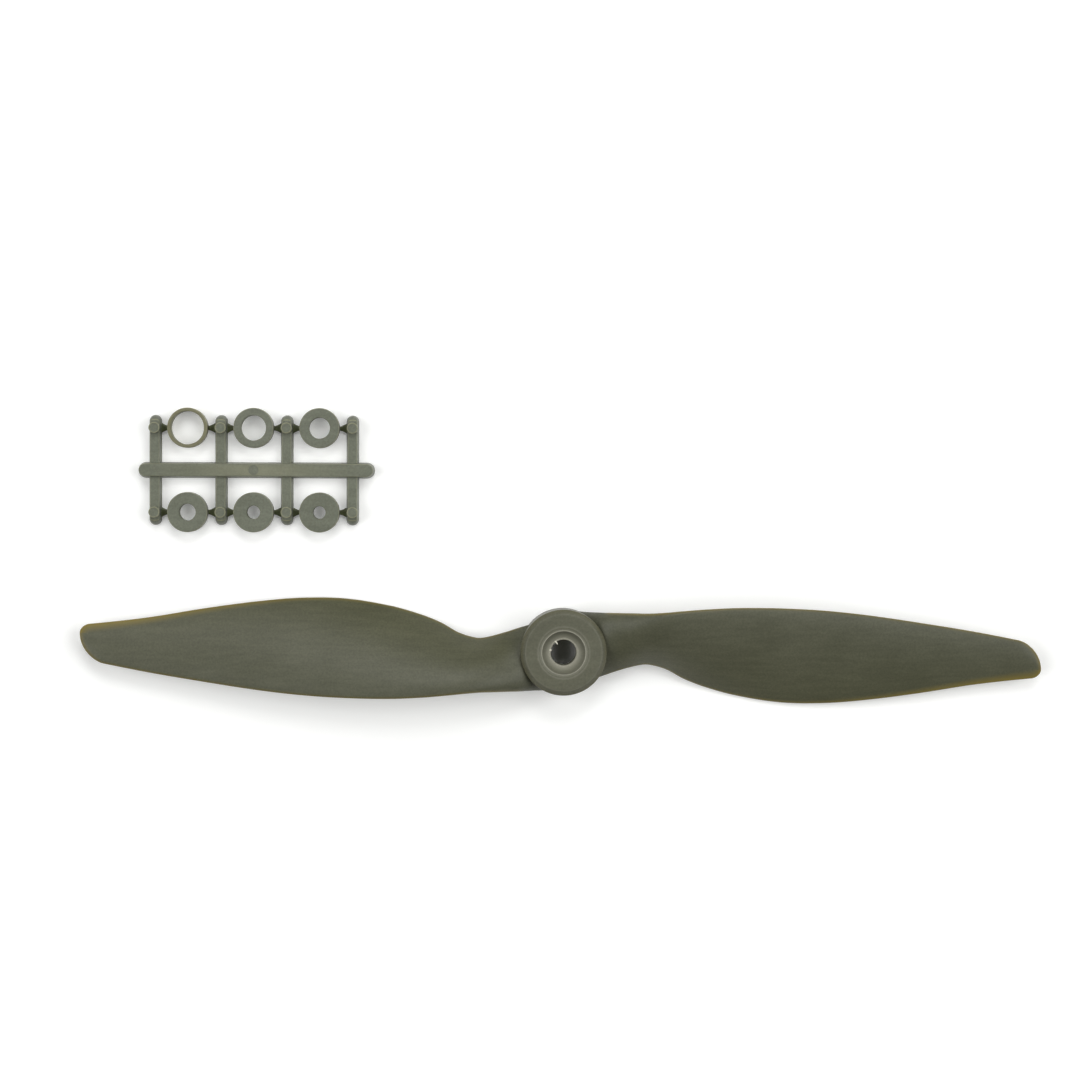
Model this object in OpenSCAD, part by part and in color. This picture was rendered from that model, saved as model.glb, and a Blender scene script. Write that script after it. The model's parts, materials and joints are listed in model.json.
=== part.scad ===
// Two-blade model aircraft propeller, moulded in one piece, with the sprue of six shaft
// adapter rings that is moulded to go with it. Millimetres. +Z is forward, the way the
// propeller pulls. The origin is on the shaft axis in the plane of the hub's rear face.

/* [Blades] */
// Diameter across the blade tips
prop_d = 228.6; // [215:0.1:245]
// Advance in one turn
pitch = 152.4; // [125:0.1:158]
// Greatest width of a blade seen from the front
blade_w = 23.1; // [20:0.1:24]
// Greatest thickness of the blade beside the hub
root_t = 5.8; // [5:0.1:7]
// Greatest thickness of the blade at the tip
tip_t = 1.0; // [0.8:0.05:1.6]
// Thickness of the trailing edge
edge_t = 0.6; // [0.4:0.05:0.9]
// Camber of the section, in percent of the chord
camber = 3; // [1.5:0.1:4]
// Length of the rounding of the leading edge at the tip
tip_lead_round = 6; // [4:0.5:10]
// Length of the rounding of the trailing edge at the tip
tip_trail_round = 2.3; // [1:0.1:3.5]

/* [Hub] */
// Diameter of the hub
hub_d = 20.3; // [19.6:0.1:21.5]
// Thickness of the hub along the shaft
hub_h = 10.7; // [10.4:0.1:12]
// Diameter of the shaft bore
bore_d = 6.1; // [5:0.05:6.5]
// Bevel round the front face
front_bevel = 1.05; // [0.3:0.05:1.3]
// Bevel round the rear face
rear_bevel = 0.3; // [0.2:0.05:0.6]
// Diameter of the recess in the front face
recess_d = 10.3; // [9:0.1:12]
// Depth of the recess's straight wall
recess_wall = 0.7; // [0.4:0.05:1]
// Depth of the dished floor inside that wall
recess_dish = 1; // [0.6:0.1:1.5]
// Depth of the shallow bevel round the mouth of the recess
lip_depth = 0.15; // [0.1:0.05:0.3]
// Width of that bevel
lip_w = 0.9; // [0.4:0.05:1]
// Bevel round the front end of the shaft bore
bore_bevel = 0.4; // [0.2:0.05:0.5]
// Clearance of an adapter ring in its seat, on the radius
seat_gap = 0.03; // [0.02:0.01:0.1]
// How much deeper the seat is than a ring is high
seat_extra = 0.1; // [0.05:0.05:0.4]

/* [Adapter rings] */
// Outer diameter of every adapter ring
ring_d = 9.5; // [9.2:0.05:9.8]
// Height of every adapter ring
ring_h = 3.8; // [3:0.1:4.5]
// Bevel on a ring's outer edges
ring_bevel = 0.25; // [0.1:0.05:0.35]
// Wall of the first ring, the thinnest; its bore is what is left inside, 7.9
thin_wall = 0.8; // [0.6:0.05:1]
// Bore of the second ring
ring_6_bore = 6; // [5.5:0.05:6.5]
// Bore of the third ring
ring_5_bore = 5; // [4.6:0.05:5.4]
// Bore of the fourth ring
ring_4_bore = 4; // [3.7:0.05:4.4]
// Bore of the fifth ring
ring_3_2_bore = 3.2; // [3.05:0.05:3.5]
// Bore of the sixth ring
ring_3_bore = 3; // [2.8:0.05:3.1]

/* [Sprue] */
// Distance from one cross runner to the next
runner_step = 15.6; // [15:0.1:17]
// Distance of each row of rings from the main runner
row_y = 10; // [9.5:0.1:12]
// Width of a cross runner at its foot
cross_w = 3; // [2.6:0.1:3.4]
// Height of a cross runner
cross_h = 2.6; // [2.2:0.1:3]
// How far a cross runner runs past the ring centres
cross_over = 3.1; // [2:0.1:4]
// Height of the dome at each end of a cross runner
dome_h = 1.4; // [0.8:0.1:2]
// Width of the main runner at its foot
main_w = 3.8; // [3.4:0.1:4.4]
// Height of the main runner
main_h = 3.4; // [3.1:0.1:4]
// Main runner past the first cross runner
main_left = 4.1; // [3:0.1:6]
// Main runner past the last cross runner
main_right = 5.3; // [3:0.1:7]
// How much narrower a runner's top is than its foot
draft_w = 0.8; // [0.4:0.1:1.2]
// Diameter of the ejector pin's mark in the middle of the main runner
mark_d = 2.4; // [1.6:0.1:2.8]
// Depth of that mark
mark_depth = 0.1; // [0.05:0.05:0.3]
// Diameter of the ejector stubs
stub_d = 2.6; // [2.2:0.1:2.9]
// Height of the ejector stubs above the cross runners
stub_rise = 1.6; // [0.8:0.1:2.4]
// Width of a gate where it leaves the cross runner
gate_root = 2.3; // [1.6:0.1:2.6]
// Width of a gate where it meets the ring
gate_tip = 1.1; // [0.7:0.1:1.4]
// Height of the gates, which lie in the parting plane
gate_h = 1; // [0.6:0.1:1.6]
// Break line between a gate and its ring
break_gap = 0.05; // [0.03:0.01:0.1]
// Sprue's place beside the propeller, to the left of the shaft
sprue_x = 73.5; // [60:0.5:90]
// Sprue's place beside the propeller, above the shaft
sprue_y = 42.8; // [38:0.1:60]

/* [Hidden] */
$fn = 96;

prop_r = prop_d / 2;
hub_r = hub_d / 2;
blade_l = prop_r - hub_r;
seat_d = ring_d + 2 * seat_gap;
seat_depth = ring_h + seat_extra;
bore_end = hub_h - recess_wall - recess_dish - bore_bevel;

// How far a cutting shape runs past the face that it cuts, and how far a joined one runs in
cut = 1;
joined = 0.8;

// Blade stations from the hub (0) to the tip (1): place along the blade, leading and trailing
// edge as shares of blade_w, share of the full pitch, thickness between tip_t (0) and
// root_t (1), and height of the section above the middle of the hub as a share of hub_h.
PLACE = 0;
LEAD = 1;
TRAIL = 2;
TURN = 3;
THICK = 4;
LIFT = 5;
stations = [
    [0.00, 0.402, -0.245, 0.12, 1.00, -0.030],
    [0.04, 0.399, -0.186, 0.28, 0.89, -0.015],
    [0.08, 0.396, -0.140, 0.49, 0.75, 0.010],
    [0.10, 0.398, -0.136, 0.59, 0.68, 0.025],
    [0.14, 0.413, -0.187, 0.74, 0.60, 0.050],
    [0.18, 0.432, -0.286, 0.82, 0.54, 0.070],
    [0.23, 0.450, -0.374, 0.89, 0.48, 0.095],
    [0.30, 0.464, -0.461, 0.95, 0.43, 0.110],
    [0.40, 0.459, -0.533, 0.98, 0.38, 0.110],
    [0.50, 0.433, -0.541, 1.00, 0.33, 0.095],
    [0.60, 0.384, -0.505, 1.00, 0.27, 0.075],
    [0.72, 0.305, -0.433, 1.00, 0.19, 0.045],
    [0.84, 0.217, -0.345, 1.00, 0.10, 0.025],
    [0.93, 0.140, -0.296, 1.00, 0.04, 0.010],
    [1.00, 0.078, -0.266, 1.00, 0.00, 0.000]
];

// Where the blade begins inside the hub, how far inside the rim its next row lies, and how
// finely it is lofted
start_x = 3.5;
rim_in = 0.4;
rim_x = hub_r - rim_in;
span_steps = 28;
tip_steps = 9;
// Turn of the tip rounding that the rows cover before the last one, in degrees
tip_turn = 86;
section_steps = 13;
dome_steps = 2;

// Slope of a station value, from the rows on either side
function slope(i, col) =
    let (a = max(i - 1, 0), b = min(i + 1, len(stations) - 1))
    (stations[b][col] - stations[a][col]) / (stations[b][PLACE] - stations[a][PLACE]);

// A station value anywhere along the blade, on one smooth curve through the rows that runs on
// straight into the hub
function along(x, col, i = 0) =
    let (u = min(1, (x - hub_r) / blade_l))
    (u < 0) ? stations[0][col] + u * slope(0, col) :
    (i < len(stations) - 2 && u > stations[i + 1][PLACE]) ? along(x, col, i + 1) :
    let (
        w = stations[i + 1][PLACE] - stations[i][PLACE],
        s = (u - stations[i][PLACE]) / w,
        s2 = s * s,
        s3 = s2 * s
    )
    (2 * s3 - 3 * s2 + 1) * stations[i][col] + (s3 - 2 * s2 + s) * w * slope(i, col)
        + (3 * s2 - 2 * s3) * stations[i + 1][col] + (s3 - s2) * w * slope(i + 1, col);

// Edges of the blade, drawn together round the tip in two quarter ovals
tip_y = blade_w * along(prop_r, TRAIL) + 0.8 * tip_trail_round;
function drawn_in(x, round_l) =
    let (s = min(0.995, max(0, (x - prop_r + round_l) / round_l))) 1 - sqrt(1 - s * s);
function edge_y(x, col, round_l) =
    let (y = blade_w * along(x, col)) y + (tip_y - y) * drawn_in(x, round_l);
function lead_y(x) = edge_y(x, LEAD, tip_lead_round);
function trail_y(x) = edge_y(x, TRAIL, tip_trail_round);

// Angle of the blade, steeper towards the hub as one screw surface, and height of its chord
function angle_at(x) = atan(pitch * along(x, TURN) / (2 * PI * max(x, hub_r)));
function chord_z(x, y) = hub_h * (0.5 + along(x, LIFT)) + y * tan(angle_at(x));

// Half the thickness at a share of the chord from the leading edge, and the camber there
function half_t(x, c, chord) =
    let (t = min(tip_t + (root_t - tip_t) * along(x, THICK), 0.3 * chord + tip_t / 2))
    1.3 * t * sqrt(c) * (1 - c) + edge_t / 2 * c;
function bow(c, chord) = camber / 25 * chord * c * (1 - c);

// One point of a section: side +1 is the front of the blade, side -1 the back
function blade_point(x, c, side) =
    let (
        y1 = lead_y(x),
        y0 = trail_y(x),
        a = angle_at(x),
        chord = (y1 - y0) / cos(a),
        y = y1 + (y0 - y1) * c,
        out = bow(c, chord) + side * half_t(x, c, chord)
    )
    [x, y - out * sin(a), chord_z(x, y) + out * cos(a)];

// Shares of the chord round a section: back along the front face, then forward along the back
function share(i) = (1 - cos(180 * i / section_steps)) / 2;
function section(x) = concat(
    [for (i = [0 : section_steps]) blade_point(x, share(i), 1)],
    [for (i = [section_steps : -1 : 1]) blade_point(x, share(i), -1)]
);

round_x = prop_r - tip_lead_round;
places = concat(
    [start_x],
    [for (i = [0 : span_steps]) rim_x + (round_x - rim_x) * i / span_steps],
    [for (i = [1 : tip_steps]) round_x + tip_lead_round * sin(tip_turn * i / tip_steps)],
    [prop_r]
);

module blade() {
    n = 2 * section_steps + 1;
    rows = len(places);
    polyhedron(
        points = [for (x = places) each section(x)],
        faces = concat(
            [[for (i = [0 : n - 1]) i]],
            [for (r = [0 : rows - 2], i = [0 : n - 1])
                [r * n + i, (r + 1) * n + i, r * n + (i + 1) % n]],
            [for (r = [0 : rows - 2], i = [0 : n - 1])
                [r * n + (i + 1) % n, (r + 1) * n + i, (r + 1) * n + (i + 1) % n]],
            [[for (i = [n - 1 : -1 : 0]) (rows - 1) * n + i]]
        )
    );
}

module hub_body() {
    rotate_extrude()
        polygon([
            [0, 0], [hub_r - rear_bevel, 0], [hub_r, rear_bevel],
            [hub_r, hub_h - front_bevel], [hub_r - front_bevel, hub_h], [0, hub_h]
        ]);
}

module hub_bores() {
    // Shaft bore, right through
    translate([0, 0, -cut]) cylinder(d = bore_d, h = hub_h + 2 * cut);
    // Seat for an adapter ring, from the rear
    translate([0, 0, -cut]) cylinder(d = seat_d, h = seat_depth + cut);
    // Recess in the front face: bore bevel, dished floor, straight wall and shallow lip bevel
    rotate_extrude()
        polygon([
            [0, bore_end], [bore_d / 2, bore_end], [bore_d / 2 + bore_bevel, bore_end + bore_bevel],
            [recess_d / 2, hub_h - recess_wall], [recess_d / 2, hub_h - lip_depth],
            [recess_d / 2 + lip_w, hub_h], [recess_d / 2 + lip_w, hub_h + cut], [0, hub_h + cut]
        ]);
}

module propeller() {
    color([0.38, 0.39, 0.33])
    difference() {
        union() {
            hub_body();
            blade();
            rotate([0, 0, 180]) blade();
        }
        hub_bores();
    }
}

// A runner lying along X: a prism with sloping sides and round ends, which are flat on top or
// fall away in a dome of the given height
module runner(length, w, h, dome = 0) {
    span = length - w;
    foot_r = w / 2;
    dome_r = foot_r - draft_w / 2 * (h - dome) / h;
    for (side = [-1, 1]) translate([side * span / 2, 0, 0])
        if (dome > 0) rotate_extrude($fn = 48) polygon(concat(
            [[0, 0], [foot_r, 0]],
            [for (i = [0 : dome_steps]) let (a = 90 * i / dome_steps)
                [dome_r * cos(a), h - dome + dome * sin(a)]]
        ));
        else cylinder(d1 = w, d2 = w - draft_w, h = h, $fn = 48);
    translate([-span / 2, 0, 0]) rotate([90, 0, 90]) linear_extrude(height = span)
        polygon([[-w / 2, 0], [w / 2, 0], [(w - draft_w) / 2, h], [-(w - draft_w) / 2, h]]);
}

// Ring places on the sprue: column -1, 0 or 1 and row -1 or 1
function ring_at(column, row) = [column * runner_step - sprue_x, row * row_y + sprue_y, 0];
cross_x = [-1.5, -0.5, 0.5, 1.5];

module gates() {
    reach = runner_step / 2;
    difference() {
        for (side = [0, 180]) rotate([0, 0, side])
            linear_extrude(height = gate_h)
                polygon([
                    [ring_d / 2 - joined, -gate_tip / 2], [reach, -gate_root / 2],
                    [reach, gate_root / 2], [ring_d / 2 - joined, gate_tip / 2]
                ]);
        translate([0, 0, -cut]) cylinder(d = ring_d + 2 * break_gap, h = gate_h + 2 * cut);
    }
}

module runners() {
    main_l = 3 * runner_step + main_left + main_right;
    translate([(main_right - main_left) / 2, 0, 0]) runner(main_l, main_w, main_h);
    for (i = cross_x) translate([i * runner_step, 0, 0]) {
        rotate([0, 0, 90]) runner(2 * (row_y + cross_over), cross_w, cross_h, dome_h);
        for (row = [-1, 1]) translate([0, row * row_y, 0])
            cylinder(d = stub_d, h = cross_h + stub_rise, $fn = 48);
    }
}

module ring_sprue() {
    color([0.46, 0.48, 0.42]) {
        translate([-sprue_x, sprue_y, 0]) difference() {
            runners();
            translate([0, 0, main_h - mark_depth]) cylinder(d = mark_d, h = mark_depth + cut, $fn = 48);
        }
        for (column = [-1, 0, 1], row = [-1, 1]) translate(ring_at(column, row)) gates();
    }
}

// A plain bush with bevelled outer edges; the rings differ only in their bore
module adapter_ring(bore) {
    r = ring_d / 2;
    color([0.46, 0.48, 0.42])
    difference() {
        rotate_extrude()
            polygon([
                [0, 0], [r - ring_bevel, 0], [r, ring_bevel],
                [r, ring_h - ring_bevel], [r - ring_bevel, ring_h], [0, ring_h]
            ]);
        translate([0, 0, -cut]) cylinder(d = bore, h = ring_h + 2 * cut);
    }
}

module adapter_ring_8mm() { translate(ring_at(-1, 1)) adapter_ring(ring_d - 2 * thin_wall); }
module adapter_ring_6mm() { translate(ring_at(0, 1)) adapter_ring(ring_6_bore); }
module adapter_ring_5mm() { translate(ring_at(1, 1)) adapter_ring(ring_5_bore); }
module adapter_ring_4mm() { translate(ring_at(-1, -1)) adapter_ring(ring_4_bore); }
module adapter_ring_3_2mm() { translate(ring_at(0, -1)) adapter_ring(ring_3_2_bore); }
module adapter_ring_3mm() { translate(ring_at(1, -1)) adapter_ring(ring_3_bore); }

propeller();
ring_sprue();
adapter_ring_8mm();
adapter_ring_6mm();
adapter_ring_5mm();
adapter_ring_4mm();
adapter_ring_3_2mm();
adapter_ring_3mm();
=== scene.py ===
import json
from math import atan2, cos, degrees, hypot, pi, radians, sin

import bmesh
import bpy
import numpy as np
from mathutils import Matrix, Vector
from mathutils.kdtree import KDTree


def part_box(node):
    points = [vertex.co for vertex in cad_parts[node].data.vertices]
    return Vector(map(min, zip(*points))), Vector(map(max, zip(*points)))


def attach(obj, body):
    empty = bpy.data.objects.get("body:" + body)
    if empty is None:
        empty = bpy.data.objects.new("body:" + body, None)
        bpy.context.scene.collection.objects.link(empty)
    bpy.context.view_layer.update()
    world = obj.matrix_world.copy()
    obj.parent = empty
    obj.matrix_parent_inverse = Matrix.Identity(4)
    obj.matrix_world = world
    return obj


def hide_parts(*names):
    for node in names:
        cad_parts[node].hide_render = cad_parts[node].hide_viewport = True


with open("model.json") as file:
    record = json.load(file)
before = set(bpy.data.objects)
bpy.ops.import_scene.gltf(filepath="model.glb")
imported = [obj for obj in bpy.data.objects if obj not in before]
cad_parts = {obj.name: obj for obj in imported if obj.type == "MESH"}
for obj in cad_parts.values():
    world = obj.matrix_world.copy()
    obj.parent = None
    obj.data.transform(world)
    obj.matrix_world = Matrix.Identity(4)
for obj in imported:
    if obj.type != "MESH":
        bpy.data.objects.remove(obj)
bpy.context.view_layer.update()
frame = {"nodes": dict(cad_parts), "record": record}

# ---------------------------------------------------------------------------------------------
# Camera: looks down at the set from 0.62 m up, a little above and to the left of the hub, and
# tilted by a degree or two, so the hub shows a sliver of its wall on its upper left side.
# ---------------------------------------------------------------------------------------------
MM = 0.001

camera_data = bpy.data.cameras.new("camera")
camera_data.sensor_width = 36.0
camera_data.lens = 86.49
camera_data.clip_start = 0.05
camera_data.clip_end = 20.0
camera = bpy.data.objects.new("camera", camera_data)
camera.location = (-22.8 * MM, 39.0 * MM, 620.0 * MM)
camera.rotation_euler = (radians(-1.173), radians(-1.603), radians(0.189))
bpy.context.scene.collection.objects.link(camera)
bpy.context.scene.camera = camera

# ---------------------------------------------------------------------------------------------
# Floor and light: a white table top with a faint glow of its own, which keeps its shadows light,
# between two big soft boxes at the left and right. Two smaller ones stand behind and none in
# front, so slopes that face the front turn dark. A spot inside the hub has no glow: it is painted
# shade for the floor seen through the bore.
# ---------------------------------------------------------------------------------------------
WHITE = (1.0, 1.0, 1.0, 1.0)
FLOOR_HALF = 6.0
FLOOR_WHITE = (0.86, 0.865, 0.85, 1.0)
FLOOR_ROUGH = 0.75
FLOOR_GLOW = 0.2
SHADE_SPOT_HALF = 3.3 * MM
SHADE_SPOT_Z = 0.02 * MM
ROOM_LIGHT = 0.04


def shader_of(material):
    """The material's surface shader node."""
    return material.node_tree.nodes["Principled BSDF"]


def new_material(name):
    """A material with nodes, holding just its surface shader and its output."""
    material = bpy.data.materials.new(name)
    material.use_nodes = True
    return material


# The spot inside the hub has no glow: painted shade on the floor seen through the bore
for name, half, height, glow in (
    ("floor", FLOOR_HALF, 0.0, FLOOR_GLOW), ("spot_inside_hub", SHADE_SPOT_HALF, SHADE_SPOT_Z, 0.0)
):
    corners = [(x * half, y * half, height) for x, y in ((-1, -1), (1, -1), (1, 1), (-1, 1))]
    sheet = bpy.data.meshes.new(name)
    sheet.from_pydata(corners, [], [(0, 1, 2, 3)])
    floor = bpy.data.objects.new(name, sheet)
    bpy.context.scene.collection.objects.link(floor)
    white_paint = new_material(name + "_white")
    sockets = shader_of(white_paint).inputs
    sockets["Base Color"].default_value = FLOOR_WHITE
    sockets["Roughness"].default_value = FLOOR_ROUGH
    sockets["Emission Color"].default_value = WHITE
    sockets["Emission Strength"].default_value = glow
    sheet.materials.append(white_paint)


def soft_light(name, place, size, watts):
    """A square soft box at place, facing the middle of the table."""
    data = bpy.data.lights.new(name, "AREA")
    data.shape = "SQUARE"
    data.size = size
    data.energy = watts
    light = bpy.data.objects.new(name, data)
    light.location = place
    light.rotation_euler = (-Vector(place)).to_track_quat("-Z", "Y").to_euler()
    bpy.context.scene.collection.objects.link(light)


soft_light("light_left", (-2.4, 0.1, 2.4), 2.6, 69.0)
soft_light("light_right", (2.4, 0.1, 2.4), 2.6, 67.0)
soft_light("light_behind", (0.0, 2.2, 2.5), 1.5, 37.0)
soft_light("light_corner", (1.75, 1.75, 2.4), 2.2, 16.0)

world = bpy.data.worlds.new("studio")
world.use_nodes = True
world.node_tree.nodes["Background"].inputs["Color"].default_value = WHITE
world.node_tree.nodes["Background"].inputs["Strength"].default_value = ROOM_LIGHT
bpy.context.scene.world = world
bpy.context.scene.view_settings.view_transform = "Standard"

# ---------------------------------------------------------------------------------------------
# Propeller: one injection moulding in glass-filled nylon, two blades running out of a round
# hub. The blades are twisted aerofoils, lofted from the same stations as the solid part. The
# hub has a seat for an adapter ring behind and a dished recess in front.
# ---------------------------------------------------------------------------------------------
mounts = {m["name"]: m for m in frame["record"]["mounts"]}
PROP_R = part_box("propeller")[1].x
BLADE_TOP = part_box("propeller")[1].z
HUB_R = 10.15 * MM
HUB_H = mounts["hub_front_face"]["pos_m"][2]
BLADE_W = 23.1 * MM
PITCH = 152.4 * MM
ROOT_T = 5.8 * MM
TIP_T = 1.0 * MM
EDGE_T = 0.6 * MM
TIP_LEAD_ROUND = 6.0 * MM
TIP_TRAIL_ROUND = 2.3 * MM
TIP_AHEAD = 0.8 * TIP_TRAIL_ROUND

# Camber and greatest thickness as shares of the chord, share of the thickness that is left at
# the very tip, and what brings sqrt(c) * (1 - c) to a half where a section is thickest
CAMBER = 0.03
MOST_THICK = 0.3
TIP_LEFT = 0.15
BULGE = 1.3

# Place along the blade, leading and trailing edge as shares of BLADE_W, share of the pitch,
# thickness between TIP_T (0) and ROOT_T (1), height above the middle of the hub over HUB_H
PLACE, LEAD, TRAIL, TURN, THICK, LIFT = range(6)
stations = np.array([
    [0.00, 0.402, -0.245, 0.12, 1.00, -0.030],
    [0.04, 0.399, -0.186, 0.28, 0.89, -0.015],
    [0.08, 0.396, -0.140, 0.49, 0.75, 0.010],
    [0.10, 0.398, -0.136, 0.59, 0.68, 0.025],
    [0.14, 0.413, -0.187, 0.74, 0.60, 0.050],
    [0.18, 0.432, -0.286, 0.82, 0.54, 0.070],
    [0.23, 0.450, -0.374, 0.89, 0.48, 0.095],
    [0.30, 0.464, -0.461, 0.95, 0.43, 0.110],
    [0.40, 0.459, -0.533, 0.98, 0.38, 0.110],
    [0.50, 0.433, -0.541, 1.00, 0.33, 0.095],
    [0.60, 0.384, -0.505, 1.00, 0.27, 0.075],
    [0.72, 0.305, -0.433, 1.00, 0.19, 0.045],
    [0.84, 0.217, -0.345, 1.00, 0.10, 0.025],
    [0.93, 0.140, -0.296, 1.00, 0.04, 0.010],
    [1.00, 0.078, -0.266, 1.00, 0.00, 0.000],
])
rows = np.arange(len(stations))
before, after = np.maximum(rows - 1, 0), np.minimum(rows + 1, len(stations) - 1)
slopes = (stations[after] - stations[before]) / (stations[after, :1] - stations[before, :1])


def span_share(x):
    """How far out a distance from the shaft is: 0 at the hub's wall, 1 at the tip."""
    return (x - HUB_R) / (PROP_R - HUB_R)


def along(x, column):
    """A station value at the distances x from the shaft, on one smooth curve through the rows
    that runs on straight into the hub."""
    place = np.minimum(span_share(x), 1.0)
    into_hub = np.minimum(place, 0.0) * slopes[0, column]
    place = np.maximum(place, 0.0)
    row = np.clip(np.searchsorted(stations[:, PLACE], place) - 1, 0, len(stations) - 2)
    width = stations[row + 1, PLACE] - stations[row, PLACE]
    s = (place - stations[row, PLACE]) / width
    return (
        into_hub
        + (2 * s**3 - 3 * s**2 + 1) * stations[row, column]
        + (s**3 - 2 * s**2 + s) * width * slopes[row, column]
        + (3 * s**2 - 2 * s**3) * stations[row + 1, column]
        + (s**3 - s**2) * width * slopes[row + 1, column]
    )


# The two edges meet at the tip here, and their ovals stop just short of it
tip_y = BLADE_W * stations[-1, TRAIL] + TIP_AHEAD
OVAL_END = 0.9995


def edge_y(x, column, round_l):
    """The leading or trailing edge, drawn in to the tip in a quarter oval."""
    y = BLADE_W * along(x, column)
    s = np.clip((x - PROP_R + round_l) / round_l, 0.0, OVAL_END)
    return y + (tip_y - y) * (1 - np.sqrt(1 - s**2))


def blade_section(x, turns):
    """Points of the sections at distances x; turns runs 0 to 1 back over the front face from the
    leading edge, and 1 to 2 forward again under the back face. The trailing edge is rounded."""
    lead = edge_y(x, LEAD, TIP_LEAD_ROUND)[:, None]
    trail = edge_y(x, TRAIL, TIP_TRAIL_ROUND)[:, None]
    angle = np.arctan(PITCH * along(x, TURN) / (2 * pi * np.maximum(x, HUB_R)))[:, None]
    chord = (lead - trail) / np.cos(angle)
    side = np.where(turns <= 1.0, 1.0, -1.0)[None, :]
    c = ((1 - np.cos(pi * turns)) / 2)[None, :]
    wanted = TIP_T + (ROOT_T - TIP_T) * along(x, THICK)[:, None]
    thick = np.minimum(wanted, MOST_THICK * chord + TIP_T / 2)
    tip_fade = np.clip((PROP_R - x) / TIP_T, 0.0, 1.0)[:, None]
    fade = np.sqrt(1 - (1 - tip_fade) ** 2) * (1 - TIP_LEFT) + TIP_LEFT
    half = fade * (BULGE * thick * np.sqrt(c) * (1 - c) + EDGE_T / 2 * c)
    to_end = np.clip((1 - c) * chord / (EDGE_T / 2), 0.0, 1.0)
    half = half * np.sqrt(1 - (1 - to_end) ** 2)
    out = 4 * CAMBER * chord * c * (1 - c) + side * half
    y = lead + (trail - lead) * c
    z = HUB_H * (0.5 + along(x, LIFT)[:, None]) + y * np.tan(angle)
    height = np.minimum(z + out * np.cos(angle), BLADE_TOP)
    return np.stack(
        [np.broadcast_to(x[:, None], y.shape), y - out * np.sin(angle), height], axis=2
    )


def grid_faces(rows, columns):
    """Quads of a tube of rows, closed round its columns, with both ends capped."""
    faces = [
        (r * columns + i, r * columns + (i + 1) % columns,
         (r + 1) * columns + (i + 1) % columns, (r + 1) * columns + i)
        for r in range(rows - 1)
        for i in range(columns)
    ]
    return faces + [
        tuple(reversed(range(columns))),
        tuple(range((rows - 1) * columns, rows * columns)),
    ]


def new_object(name, points, faces):
    """A mesh object in the scene, its faces all turned outward."""
    mesh = bpy.data.meshes.new(name)
    mesh.from_pydata([tuple(p) for p in points], [], faces)
    shape = bmesh.new()
    shape.from_mesh(mesh)
    bmesh.ops.recalc_face_normals(shape, faces=shape.faces)
    shape.to_mesh(mesh)
    shape.free()
    made = bpy.data.objects.new(name, mesh)
    bpy.context.scene.collection.objects.link(made)
    return made


def combine(base, tool, operation):
    """base joined with or cut by tool, which is used up."""
    modifier = base.modifiers.new("combine", "BOOLEAN")
    modifier.operation = operation
    modifier.solver = "MANIFOLD"
    modifier.object = tool
    graph = bpy.context.evaluated_depsgraph_get()
    made = bpy.data.meshes.new_from_object(base.evaluated_get(graph))
    base.modifiers.clear()
    base.data = made
    bpy.data.objects.remove(tool)


SHARP = radians(32)


def smooth(piece):
    """Shades the piece smooth, apart from its sharp edges."""
    piece.data.shade_smooth()
    piece.data.set_sharp_from_angle(angle=SHARP)


SAME_POINT = 1e-7


def lathe(name, profile, steps, centre=(0.0, 0.0)):
    """A solid turned round an upright axis. profile is (radius, height) points up the outside;
    where it starts or ends off the axis it is closed to a ring."""
    angles = np.arange(steps) * 2 * pi / steps
    points = [
        (centre[0] + r * cos(a), centre[1] + r * sin(a), z) for r, z in profile for a in angles
    ]
    rows = len(profile)
    closed = profile[0][0] > 0 and profile[-1][0] > 0
    faces = [
        (r * steps + i, r * steps + (i + 1) % steps,
         (r + 1) % rows * steps + (i + 1) % steps, (r + 1) % rows * steps + i)
        for r in range(rows if closed else rows - 1)
        for i in range(steps)
    ]
    made = new_object(name, points, faces)
    shape = bmesh.new()
    shape.from_mesh(made.data)
    bmesh.ops.remove_doubles(shape, verts=shape.verts, dist=SAME_POINT)
    shape.to_mesh(made.data)
    shape.free()
    return made


def corner(r, z, radius, start, end, steps=5):
    """Profile points round a corner: an arc about (r, z) from one angle to another, in degrees."""
    return [
        (r + radius * cos(radians(start + (end - start) * i / steps)),
         z + radius * sin(radians(start + (end - start) * i / steps)))
        for i in range(steps + 1)
    ]


# The loft of a blade starts inside the hub, and its last rows lie closer to follow the tip
START_X = 3.5 * MM
SPAN_ROWS = 150
TIP_ROWS = 26
TIP_TURN = radians(88.5)
SECTION_POINTS = 72
round_x = PROP_R - TIP_LEAD_ROUND
tip_turns = np.arange(1, TIP_ROWS + 1) / TIP_ROWS * TIP_TURN
blade_x = np.concatenate([
    np.linspace(START_X, round_x, SPAN_ROWS),
    round_x + TIP_LEAD_ROUND * np.sin(tip_turns),
])
section_turns = np.arange(SECTION_POINTS) * 2.0 / SECTION_POINTS
blade_points = blade_section(blade_x, section_turns).reshape(-1, 3)
blade_faces = grid_faces(len(blade_x), SECTION_POINTS)

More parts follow.
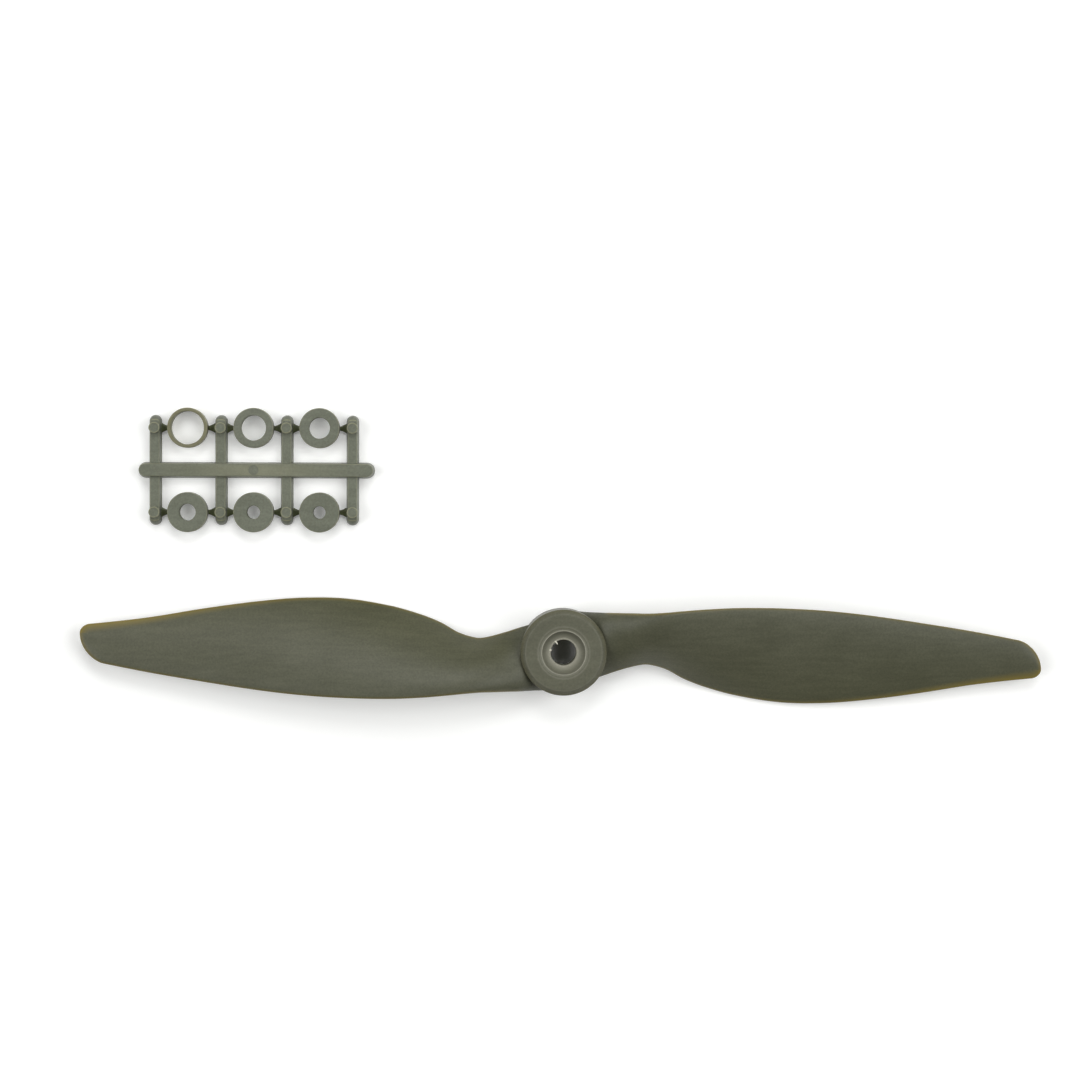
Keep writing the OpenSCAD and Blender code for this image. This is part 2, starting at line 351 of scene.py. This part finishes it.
# The hub, with rings of points on its flat front face that keep the paint of the rim narrow.
# An arc of radius RIM_SOFT in a 45 degree corner starts TANGENT away from it.
RIM_BEVEL = 1.05 * MM
RIM_SOFT = 0.3 * MM
REAR_ROUND = 0.3 * MM
TANGENT = RIM_SOFT * 0.414
FACE_STEP = 0.4 * MM
HUB_STEPS = 192
rim_edge = HUB_R - RIM_BEVEL
propeller = lathe(
    "propeller_moulding",
    [(0.0, 0.0), (HUB_R * 0.5, 0.0)]
    + corner(HUB_R - REAR_ROUND, REAR_ROUND, REAR_ROUND, -90, 0)
    + corner(HUB_R - RIM_SOFT, HUB_H - RIM_BEVEL - TANGENT, RIM_SOFT, 0, 45)
    + corner(rim_edge - TANGENT, HUB_H - RIM_SOFT, RIM_SOFT, 45, 90)
    + [(rim_edge - FACE_STEP, HUB_H), (rim_edge - 2 * FACE_STEP, HUB_H),
       (HUB_R * 0.64, HUB_H), (0.0, HUB_H)],
    HUB_STEPS,
)
for side in (1, -1):
    blade = new_object("blade", blade_points * np.array([side, side, 1.0]), blade_faces)
    combine(propeller, blade, "UNION")

# Seat, bore and recess: a land round the bore, a dish that steepens a little as it rises, a
# drafted wall, a bead on top of it, and a shallow lip sloping up to the front face
SEAT_R = mounts["ring_seat"]["dims"]["r_mm"] * MM
SEAT_DEPTH = mounts["ring_seat"]["dims"]["length_mm"] * MM
BORE_R = mounts["shaft_bore"]["dims"]["r_mm"] * MM
BORE_END = SEAT_DEPTH + mounts["shaft_bore"]["dims"]["length_mm"] * MM
RECESS_R = 5.15 * MM
RECESS_WALL = 0.7 * MM
WALL_DRAFT = 0.35 * MM
LIP_W = 0.9 * MM
LIP_DEPTH = 0.15 * MM
BEAD_W = 0.3 * MM
LAND_W = 0.4 * MM
LAND_RISE = 0.3 * MM
LAND_ROUND = 0.12 * MM
STEEPENING = 0.2
PAST = 1.0 * MM
BORE_STEPS = 160
bead_r = RECESS_R + BEAD_W / 4
land_z = BORE_END + LAND_RISE
wall_foot = (RECESS_R - WALL_DRAFT, HUB_H - RECESS_WALL)
land_end = BORE_R + LAND_W
dish = [
    (land_end + (wall_foot[0] - land_end) * share,
     land_z + (wall_foot[1] - land_z) * ((1 - STEEPENING) * share + STEEPENING * share**2))
    for share in np.linspace(0.0, 1.0, 7)
]
bead = [
    (bead_r - BEAD_W / 2 * cos(radians(a)), HUB_H - LIP_DEPTH + BEAD_W / 3 * sin(radians(a)))
    for a in range(0, 181, 30)
]
bores = lathe(
    "bores",
    [(0.0, -PAST), (SEAT_R, -PAST), (SEAT_R, SEAT_DEPTH), (BORE_R, SEAT_DEPTH)]
    + corner(BORE_R + LAND_ROUND, land_z - LAND_ROUND, LAND_ROUND, 180, 90)
    + dish + bead
    + [(RECESS_R + LIP_W * 0.8, HUB_H - LIP_DEPTH * 0.3), (RECESS_R + LIP_W, HUB_H),
       (RECESS_R + LIP_W, HUB_H + PAST), (0.0, HUB_H + PAST)],
    BORE_STEPS,
)
combine(propeller, bores, "DIFFERENCE")

# Two crumbs of flash on the edge of the bore: direction in degrees, inner end, width
NIBS = ((126, 2.35 * MM, 0.4 * MM), (170, 2.8 * MM, 0.45 * MM))
NIB_H = 0.2 * MM
NIB_SINK = 0.05 * MM
NIB_ROOT = BORE_R + 0.25 * MM
NIB_BLUNT = 1.02
NIB_SHARES = (0.0, 0.3, 0.6, 0.85, 1.0)
NIB_SIDES = 10
for turn, end, width in NIBS:
    c, s = cos(radians(turn)), sin(radians(turn))
    points = []
    for share in NIB_SHARES:
        r = NIB_ROOT + (end - NIB_ROOT) * share
        blunt = np.sqrt(NIB_BLUNT - share**2)
        for k in range(NIB_SIDES):
            y = width / 2 * blunt * cos(2 * pi * k / NIB_SIDES)
            z = land_z - NIB_SINK + NIB_H / 2 * blunt * sin(2 * pi * k / NIB_SIDES)
            points.append((c * r - s * y, s * r + c * y, z))
    nib = new_object("nib", points, grid_faces(len(NIB_SHARES), NIB_SIDES))
    combine(propeller, nib, "UNION")
smooth(propeller)

# Thin nylon lets light through, and that light is painted in as olive: a band along the trailing
# edge that widens to the tip, a narrow one with a hairline along the leading edge, and a touch of
# it on the hub's rim. Painted highlights make the edges of the hub's recess, bore and rim pale,
# and its front face a little paler; the crumbs of flash on the bore are palest.
TRAIL_BAND = (0.45 * MM, 2.4 * MM)
LEAD_BAND = 0.9 * MM
HAIRLINE = 0.22 * MM
TRAIL_OLIVE = (0.42, 0.58)
LEAD_OLIVE = (0.3, 0.2)
TIP_OLIVE = 0.3
HAIR_OLIVE = 0.45
RIM_OLIVE = 0.1
RIM_W = 0.4 * MM
SKIN = 0.02 * MM
OUTLINE_ROWS = 1200
OUTLINE_TIP_ROWS = 199
OUTLINE_TURN = radians(89.5)
outline_turns = np.arange(1, OUTLINE_TIP_ROWS + 1) / OUTLINE_TIP_ROWS * OUTLINE_TURN
outline_x = np.concatenate([
    np.linspace(HUB_R, round_x, OUTLINE_ROWS),
    round_x + TIP_LEAD_ROUND * np.sin(outline_turns),
])
outline = []
for column, round_l in ((LEAD, TIP_LEAD_ROUND), (TRAIL, TIP_TRAIL_ROUND)):
    for x, y in zip(outline_x, edge_y(outline_x, column, round_l)):
        outline.append((x, y, column))
nearest = KDTree(len(outline))
for i, (x, y, _) in enumerate(outline):
    nearest.insert((x, y, 0.0), i)
nearest.balance()


def from_axis(point, centre=(0.0, 0.0)):
    """The distance of a point from an upright axis."""
    return hypot(point.x - centre[0], point.y - centre[1])


def on_right_blade(point):
    """A point's x and y, turned half round if it is on the left blade."""
    return (point.x, point.y) if point.x > 0 else (-point.x, -point.y)


def thinness(point):
    """How thin the moulding is at a point, from 0 in the body to 1 at a blade's edge: how strongly
    light coming through it is painted in as olive.
    """
    x, y = on_right_blade(point)
    r = from_axis(point)
    if x < HUB_R * 0.9 or r < HUB_R + SKIN:
        on_rim = r > HUB_R - RIM_W and point.z > HUB_H - 1.2 * RIM_BEVEL
        return RIM_OLIVE if on_rim else 0.0
    _, i, gap = nearest.find((x, y, 0.0))
    share = span_share(x)
    if outline[i][2] == TRAIL:
        band = TRAIL_BAND[0] + (TRAIL_BAND[1] - TRAIL_BAND[0]) * share**2
        return (TRAIL_OLIVE[0] + TRAIL_OLIVE[1] * share) * max(0.0, 1.0 - gap / band) ** 1.4
    at_tip = max(0.0, 1.0 - (PROP_R - x) / TIP_LEAD_ROUND)
    band = LEAD_BAND * (1.0 + 0.7 * at_tip)
    most = LEAD_OLIVE[0] + LEAD_OLIVE[1] * share + TIP_OLIVE * at_tip
    faint = most * max(0.0, 1.0 - gap / band) ** 2
    return faint + HAIR_OLIVE * max(0.0, 1.0 - gap / HAIRLINE)


# Painted shade: each blade also turns darker and warmer from its leading edge back, less so
# towards the tip
TRAIL_SHADE_LOST = 0.65
TRAIL_SHADE_START = 4.0 * MM


def tinted(point):
    """How strong the painted shade is at a point, darker and warmer towards the trailing edge."""
    x, y = on_right_blade(point)
    if x < HUB_R or from_axis(point) < HUB_R + SKIN:
        return 0.0
    lead = edge_y(np.array([x]), LEAD, TIP_LEAD_ROUND)[0]
    trail = edge_y(np.array([x]), TRAIL, TIP_TRAIL_ROUND)[0]
    back = min(1.0, max(0.0, (lead - y) / max(lead - trail, 0.1 * MM)))
    return back**1.5 * (1.0 - TRAIL_SHADE_LOST * span_share(x)) * min(1.0, (x - HUB_R) / TRAIL_SHADE_START)


# How pale the painted highlights on the edges of the front face are and how far they reach to
# either side, and how pale the face, the land and the dish are painted, the dish a little less
# with each millimetre out
BEAD_PALE = (0.4, 0.24 * MM)
LIP_PALE = (0.12, 0.15 * MM)
RIM_PALE = (0.08, 0.25 * MM)
FACE_PALE = 0.04
LAND_PALE = 0.35
DISH_PALE = 0.3
DISH_LOSS = 0.2
DISH_LEAST = 0.1
NIB_REACH = 4


def beside_edge(r, edge_r, pale, reach):
    """How strong the painted highlight on the front face is beside an edge, falling to 0 at its
    reach.
    """
    return pale * max(0.0, 1.0 - abs(r - edge_r) / reach)


def rubbed(point):
    """How pale the surface is painted at a point: highlights on the rims of the hub, of its recess
    and of its bore, and the crumbs of flash palest.
    """
    r = from_axis(point)
    if r > HUB_R:
        return 0.0
    if point.z > HUB_H - 0.3 * MM:
        bead_edge = beside_edge(r, bead_r, *BEAD_PALE)
        lip_edge = beside_edge(r, RECESS_R + LIP_W, *LIP_PALE)
        rim = beside_edge(r, rim_edge - TANGENT / 2, *RIM_PALE)
        return max(FACE_PALE, bead_edge, lip_edge, rim)
    if point.z > land_z - 0.4 * MM and r < RECESS_R:
        turn = degrees(atan2(point.y, point.x))
        by_nib = min(abs(turn - nib[0]) for nib in NIBS) < NIB_REACH
        if r < BORE_R - 0.01 * MM or (by_nib and r < land_end - 0.1 * MM):
            return 1.0
        dish_pale = max(DISH_LEAST, DISH_PALE - DISH_LOSS * (r - land_end) / MM)
        return LAND_PALE if r < land_end else dish_pale
    return 0.0


def paint(piece, name, value_at):
    """Stores a value from 0 to 1 at every point of a piece, for its material to read."""
    layer = piece.data.attributes.new(name, "FLOAT", "POINT")
    layer.data.foreach_set("value", [value_at(v.co) for v in piece.data.vertices])


# Painted light: olive where light comes through thin nylon
paint(propeller, "thin", thinness)
# Painted shade towards the trailing edges
paint(propeller, "tinted", tinted)
# Painted highlights on the hub's edges, with its crumbs of flash palest
paint(propeller, "rubbed", rubbed)

# What the nylon's colour is multiplied by under painted shade, towards the trailing edges and
# where shaded, how its flow marks are drawn out along X, and how deep its grain and its flow marks
# are
TRAIL_SHADE = (0.86, 0.85, 0.66, 1.0)
SHADE = (0.64, 0.68, 0.42, 1.0)
FLOW_TINT = (0.12, 1.0, 1.0)
FLOW_RIDGE = (0.1, 1.0, 1.0)
GRAIN_DEPTH = 0.02 * MM


def grey(value):
    """A grey as a colour; above 1 it lightens what it multiplies."""
    return (value, value, value, 1.0)


def nylon(name, dark, light, olive, pale):
    """Satin glass-filled nylon. Its colour wanders between dark and light, with flow marks along
    X. Over it go painted light and shade: darker and warmer with the painted trailing shade, olive
    where light through thin nylon is painted in, pale with painted highlights and flash, and dark
    with painted shade where shaded."""
    material = new_material(name)
    tree = material.node_tree
    shader = shader_of(material)
    shader.inputs["Specular IOR Level"].default_value = 0.22
    place = tree.nodes.new("ShaderNodeTexCoord").outputs["Object"]

    def noise(scale, detail, stretch=(1.0, 1.0, 1.0)):
        mapping = tree.nodes.new("ShaderNodeMapping")
        mapping.inputs["Scale"].default_value = stretch
        tree.links.new(place, mapping.inputs["Vector"])
        node = tree.nodes.new("ShaderNodeTexNoise")
        node.inputs["Scale"].default_value = scale
        node.inputs["Detail"].default_value = detail
        tree.links.new(mapping.outputs["Vector"], node.inputs["Vector"])
        return node.outputs["Fac"]

    def ramp(value, low, high, low_colour, high_colour):
        node = tree.nodes.new("ShaderNodeValToRGB")
        node.color_ramp.elements[0].position = low
        node.color_ramp.elements[0].color = low_colour
        node.color_ramp.elements[1].position = high
        node.color_ramp.elements[1].color = high_colour
        tree.links.new(value, node.inputs["Fac"])
        return node.outputs["Color"]

    def mix(kind, factor, under, over):
        node = tree.nodes.new("ShaderNodeMix")
        node.data_type = "RGBA"
        node.blend_type = kind
        for socket, value in (("Factor", factor), ("A", under), ("B", over)):
            if isinstance(value, (float, tuple)):
                node.inputs[socket].default_value = value
            else:
                tree.links.new(value, node.inputs[socket])
        return node.outputs["Result"]

    def painted(layer):
        node = tree.nodes.new("ShaderNodeAttribute")
        node.attribute_name = layer
        return node.outputs["Fac"]

    def bump(height, under=None):
        node = tree.nodes.new("ShaderNodeBump")
        node.inputs["Strength"].default_value = 0.3
        node.inputs["Distance"].default_value = GRAIN_DEPTH
        tree.links.new(height, node.inputs["Height"])
        if under is not None:
            tree.links.new(under, node.inputs["Normal"])
        return node.outputs["Normal"]

    flow_marks = ramp(noise(900.0, 2.0, FLOW_TINT), 0.35, 0.75, grey(0.92), grey(1.06))
    mottling = ramp(noise(2200.0, 3.0), 0.3, 0.75, grey(0.86), grey(1.12))
    body = ramp(noise(60.0, 3.0), 0.3, 0.7, dark, light)
    body = mix("MULTIPLY", 1.0, body, flow_marks)
    body = mix("MULTIPLY", 1.0, body, mottling)
    # Painted shade: darker and warmer towards each trailing edge
    body = mix("MULTIPLY", painted("tinted"), body, TRAIL_SHADE)
    # Painted light: olive where light comes through thin nylon
    body = mix("MIX", painted("thin"), body, olive)
    # Painted highlights, with the crumbs of flash palest
    body = mix("MIX", painted("rubbed"), body, pale)
    # Painted shade on the sprue's gates and in the rings' bores
    body = mix("MULTIPLY", painted("shaded"), body, SHADE)
    tree.links.new(body, shader.inputs["Base Color"])
    satin = ramp(noise(1500.0, 3.0), 0.2, 0.8, grey(0.34), grey(0.46))
    tree.links.new(satin, shader.inputs["Roughness"])
    grain = bump(noise(4000.0, 3.0))
    tree.links.new(bump(noise(1400.0, 2.0, FLOW_RIDGE), grain), shader.inputs["Normal"])
    return material


blade_nylon = nylon(
    "blade_nylon",
    dark=(0.085, 0.087, 0.058, 1.0),
    light=(0.1, 0.102, 0.07, 1.0),
    olive=(0.205, 0.158, 0.034, 1.0),
    pale=(0.62, 0.6, 0.5, 1.0),
)
propeller.data.materials.clear()
propeller.data.materials.append(blade_nylon)
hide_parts("propeller")
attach(propeller, "propeller")

# ---------------------------------------------------------------------------------------------
# Ring sprue: the frame that the nylon flowed through to the adapter rings. A flat-topped main
# runner carries four lower cross runners, each with two ejector stubs, and a small tapered gate
# reaches each ring from either side. It is moulded with the rings and lies beside the propeller.
# ---------------------------------------------------------------------------------------------
RUNNER_STEP = 15.6 * MM
ROW_Y = 10.0 * MM
CROSS_W = 3.0 * MM
CROSS_H = 2.6 * MM
CROSS_OVER = 3.1 * MM
DOME_H = 1.4 * MM
MAIN_W = 3.8 * MM
MAIN_H = 3.4 * MM
MAIN_LEFT = 4.1 * MM
MAIN_RIGHT = 5.3 * MM
DRAFT = 0.4 * MM
TOP_ROUND = 0.18 * MM
FOOT_ROUND = 0.12 * MM
RING_PLAY = 0.03 * MM
RING_R = SEAT_R - RING_PLAY
END_STEPS = 24
DOME_STEPS = 8
DOME_END = 0.97

ring_names = [name for name in frame["nodes"] if name.startswith("adapter_ring")]
ring_middles = {
    name: (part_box(name)[0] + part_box(name)[1]) / 2 for name in ring_names
}
sprue_x = sum(m.x for m in ring_middles.values()) / len(ring_middles)
sprue_y = sum(m.y for m in ring_middles.values()) / len(ring_middles)


def runner(name, length, width, height, domed, turn, centre):
    """A runner's solid: a stack of long round-ended outlines, with drafted sides and rounded
    edges. Where it is domed, its ends fall away from the top in a quarter round."""
    foot = corner(0.0, FOOT_ROUND, FOOT_ROUND, -90, 0)
    heights = [z for _, z in foot]
    side_in = [FOOT_ROUND - x for x, _ in foot]
    if domed:
        for z in np.linspace(height - DOME_H, height - TOP_ROUND * 1.2, DOME_STEPS):
            heights.append(z)
            side_in.append(DRAFT * z / height)
    for x, z in corner(0.0, height - TOP_ROUND, TOP_ROUND, 10, 90):
        heights.append(z)
        side_in.append(DRAFT + TOP_ROUND - x)
    span = length / 2 - width / 2
    points = []
    for z, inward in zip(heights, side_in):
        end_in = inward
        if domed and z > height - DOME_H:
            rise = min(DOME_END, (z - height + DOME_H) / DOME_H)
            end_in = inward + (width / 2 - inward) * (1 - np.sqrt(1 - rise**2))
        for i in range(2 * END_STEPS):
            side = 1 if i < END_STEPS else -1
            a = -pi / 2 + pi * (i % END_STEPS) / (END_STEPS - 1)
            x = side * (span + (width / 2 - end_in) * cos(a))
            y = side * (width / 2 - inward) * sin(a)
            points.append((x, y, z))
    flat = np.array(points)
    c, s = cos(turn), sin(turn)
    placed = np.stack(
        [centre[0] + c * flat[:, 0] - s * flat[:, 1], centre[1] + s * flat[:, 0] + c * flat[:, 1],
         flat[:, 2]], axis=1,
    )
    return new_object(name, placed, grid_faces(len(heights), 2 * END_STEPS))


# A gate is squarish, flares towards its runner and stops short of its ring at a break line
GATE_ROOT = 2.3 * MM
GATE_TIP = 1.1 * MM
GATE_H = 1.0 * MM
GATE_GAP = 0.05 * MM
GATE_FLARE = 1.6
GATE_STEPS = 10
GATE_SIDES = 16


def squarish(share):
    """A cosine or sine drawn out, so that a round becomes a rounded square."""
    return np.sign(share) * abs(share) ** 0.5


def gate(centre, side):
    """A gate's solid, from inside its cross runner to the break line round its ring."""
    reach = RUNNER_STEP / 2
    ring_edge = RING_R + GATE_GAP
    points = []
    for i in range(GATE_STEPS + 1):
        share = i / GATE_STEPS
        to_runner = min(1.0, share * (reach - ring_edge) / (reach - CROSS_W / 2 - ring_edge))
        width = GATE_TIP + (GATE_ROOT - GATE_TIP) * to_runner**GATE_FLARE
        for k in range(GATE_SIDES):
            a = 2 * pi * (k + 0.5) / GATE_SIDES
            y = width / 2 * squarish(cos(a))
            z = GATE_H / 2 + GATE_H / 2 * squarish(sin(a))
            start = np.sqrt(ring_edge**2 - y**2)
            x = start + (reach - start) * share
            points.append((centre[0] + side * x, centre[1] + y, z))
    return new_object("gate", points, grid_faces(GATE_STEPS + 1, GATE_SIDES))


STUB_R = 1.3 * MM
STUB_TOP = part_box("ring_sprue")[1].z
STUB_ROUND = 0.12 * MM
STUB_DISH = 0.06 * MM
MARK_R = 1.2 * MM
MARK_DEPTH = 0.1 * MM
STUB_STEPS = 48
main_l = 3 * RUNNER_STEP + MAIN_LEFT + MAIN_RIGHT
sprue = runner(
    "ring_sprue_moulding", main_l, MAIN_W, MAIN_H, False, 0.0,
    (sprue_x + (MAIN_RIGHT - MAIN_LEFT) / 2, sprue_y),
)
for step in (-1.5, -0.5, 0.5, 1.5):
    x = sprue_x + step * RUNNER_STEP
    cross = runner(
        "cross_runner", 2 * (ROW_Y + CROSS_OVER), CROSS_W, CROSS_H, True, pi / 2, (x, sprue_y)
    )
    combine(sprue, cross, "UNION")
    for row in (-1, 1):
        stub = lathe(
            "stub",
            [(0.0, CROSS_H / 2), (STUB_R, CROSS_H / 2)]
            + corner(STUB_R - STUB_ROUND, STUB_TOP - STUB_ROUND, STUB_ROUND, 0, 90)
            + [(STUB_R * 0.78, STUB_TOP), (STUB_R * 0.72, STUB_TOP - STUB_DISH),
               (0.0, STUB_TOP - STUB_DISH)],
            STUB_STEPS,
            (x, sprue_y + row * ROW_Y),
        )
        combine(sprue, stub, "UNION")
for middle in ring_middles.values():
    for side in (-1, 1):
        combine(sprue, gate(middle, side), "UNION")
mark = lathe(
    "mark",
    [(0.0, MAIN_H - MARK_DEPTH), (MARK_R, MAIN_H - MARK_DEPTH), (MARK_R, MAIN_H + PAST),
     (0.0, MAIN_H + PAST)],
    STUB_STEPS,
    (sprue_x, sprue_y),
)
combine(sprue, mark, "DIFFERENCE")
smooth(sprue)


def top_edge(z, top, radius):
    """Whether a height is on the rounding of an upper edge, between its foot and its top."""
    return top - 0.8 * radius < z < top - 0.05 * radius


def sprue_highlight(point):
    """Painted highlights: the rounded top edges of the runners, the rims of the stubs and that of
    the ejector mark are a little paler."""
    if from_axis(point, (sprue_x, sprue_y)) < 1.1 * MARK_R:
        return 0.25 if point.z > MAIN_H - 0.01 * MM else 0.0
    if top_edge(point.z, CROSS_H, TOP_ROUND) or top_edge(point.z, MAIN_H, TOP_ROUND):
        return 0.5
    column = round((point.x - sprue_x) / RUNNER_STEP - 0.5) + 0.5
    row = 1 if point.y > sprue_y else -1
    stub_middle = (sprue_x + column * RUNNER_STEP, sprue_y + row * ROW_Y)
    on_rim = from_axis(point, stub_middle) > 0.85 * STUB_R
    return 0.5 if point.z > STUB_TOP - 0.1 * MM and on_rim else 0.0


def sprue_shaded(point):
    """Painted shade on the gates: thin necks low down between the ring and its runner."""
    for middle in ring_middles.values():
        reach = abs(point.x - middle.x)
        in_gap = RING_R < reach < RUNNER_STEP / 2 - CROSS_W * 0.47
        if in_gap and abs(point.y - middle.y) < GATE_ROOT / 2:
            return 1.0 if point.z < GATE_H + 0.01 * MM else 0.0
    return 0.0


# Painted highlights on the sprue's top edges and stub rims
paint(sprue, "rubbed", sprue_highlight)
# Painted shade on the gates
paint(sprue, "shaded", sprue_shaded)

ring_nylon = nylon(
    "ring_nylon",
    dark=(0.142, 0.152, 0.114, 1.0),
    light=(0.164, 0.175, 0.134, 1.0),
    olive=(0.2, 0.18, 0.09, 1.0),
    pale=(0.34, 0.33, 0.2, 1.0),
)
sprue.data.materials.clear()
sprue.data.materials.append(ring_nylon)
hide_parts("ring_sprue")
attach(sprue, "ring_sprue")

# ---------------------------------------------------------------------------------------------
# Adapter rings: six small bushes of one outer size, each with the bore of another motor shaft.
# Same nylon, moulded flat with rounded edges, and painted olive where the wall is thin, for the
# light that comes through it.
# ---------------------------------------------------------------------------------------------
EDGE_ROUND = 0.25 * MM
BORE_ROUND = 0.08 * MM
DISH = 0.04 * MM
OLIVE_WALL = 1.6 * MM
RING_STEPS = 128

for name in ring_names:
    low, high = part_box(name)
    middle = ring_middles[name]
    outer = (high.x - low.x) / 2
    inner = mounts[name.replace("adapter_", "") + "_bore"]["dims"]["r_mm"] * MM
    wall = outer - inner
    top = high.z
    sink = min(DISH, wall * 0.02)
    profile = (
        corner(outer - EDGE_ROUND, EDGE_ROUND, EDGE_ROUND, -90, 0)
        + corner(outer - EDGE_ROUND, top - EDGE_ROUND, EDGE_ROUND, 0, 90)
        + [(outer - EDGE_ROUND - wall * 0.25, top - sink)]
        + corner(inner + BORE_ROUND, top - sink - BORE_ROUND, BORE_ROUND, 90, 180)
        + corner(inner + BORE_ROUND, BORE_ROUND, BORE_ROUND, 180, 270)
    )
    ring = lathe(name + "_moulding", profile, RING_STEPS, (middle.x, middle.y))
    smooth(ring)

    def ring_highlight(point):
        """A painted highlight: the rounded outer edge is a little paler."""
        on_outside = from_axis(point, middle) > outer - EDGE_ROUND
        return 0.4 if on_outside and top_edge(point.z, top, EDGE_ROUND) else 0.0

    def ring_thin(point):
        """Painted light: a thin wall lets light through, painted in as olive at every point alike.
        """
        return max(0.0, 1.0 - wall / OLIVE_WALL)

    def ring_shaded(point):
        """Painted shade: the wall of the bore is darker than the faces."""
        return 1.0 if from_axis(point, middle) < inner + 0.2 * BORE_ROUND else 0.0

    # Painted highlight on the ring's outer edge
    paint(ring, "rubbed", ring_highlight)
    # Painted light: olive where light comes through the thin wall
    paint(ring, "thin", ring_thin)
    # Painted shade in the bore
    paint(ring, "shaded", ring_shaded)
    ring.data.materials.append(ring_nylon)
    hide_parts(name)
    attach(ring, name)
